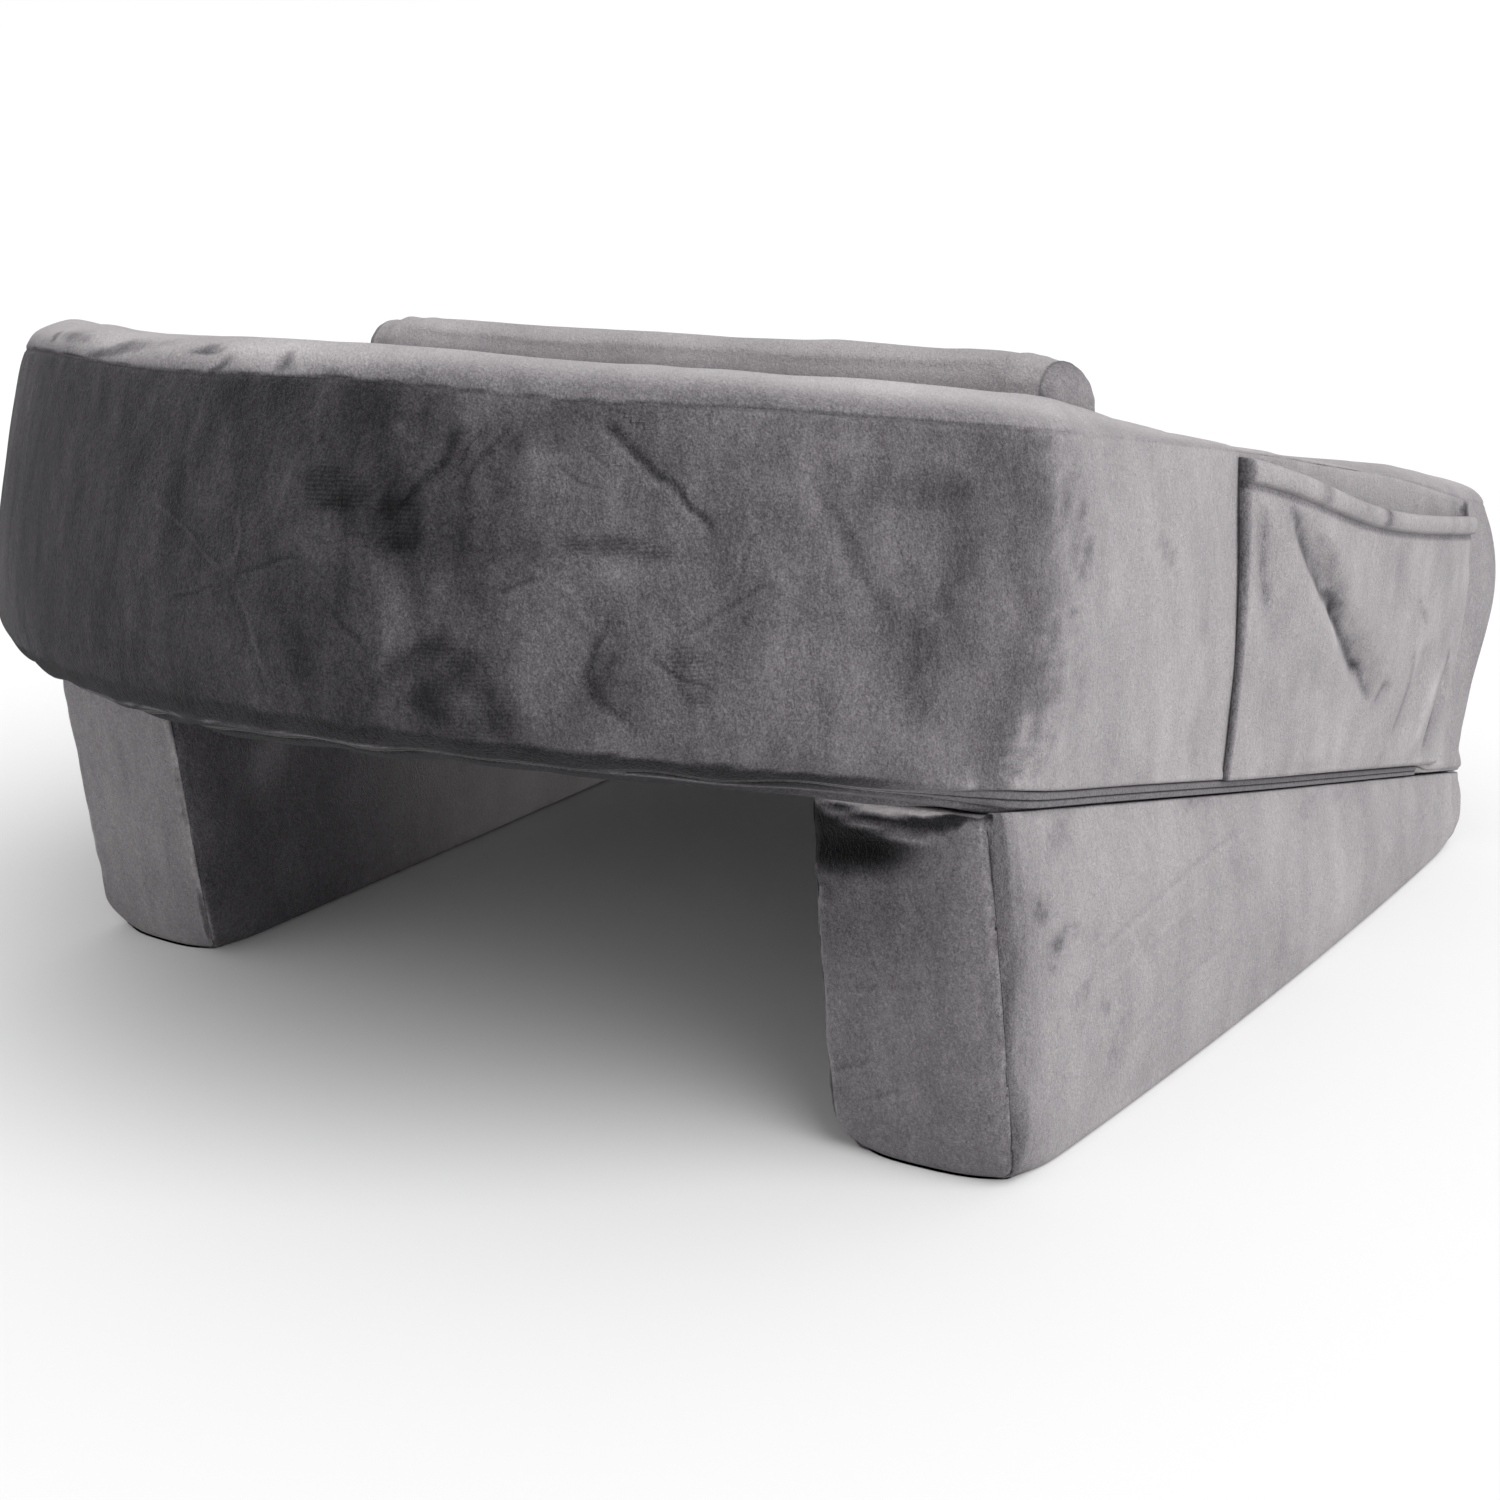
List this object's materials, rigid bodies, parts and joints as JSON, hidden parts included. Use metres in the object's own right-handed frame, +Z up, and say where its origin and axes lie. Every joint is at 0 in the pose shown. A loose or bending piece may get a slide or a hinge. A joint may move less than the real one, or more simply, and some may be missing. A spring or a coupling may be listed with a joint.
{
  "type": "desk nap pillow",
  "caption": "Sloping velvet desk nap pillow: a thick padded top with a curved high front on wedge legs, head roll, side pocket and zipped cover.",
  "frame": {"origin": "middle of the part's box, at the level it rests on", "axes": "+Z up, the curved high front faces -Y, +X is the side with the pocket"},
  "size_m": [0.477, 0.5356, 0.2772],
  "materials": {
    "velvet": "short plush pile, mid grey",
    "zip_tape": "woven tape, dark grey"
  },
  "bodies": {
    "root": {"pad": "velvet", "leg_left": "velvet", "leg_right": "velvet", "head_roll": "velvet", "side_pocket": "velvet", "zip": "zip_tape"}
  },
  "joints": []
}
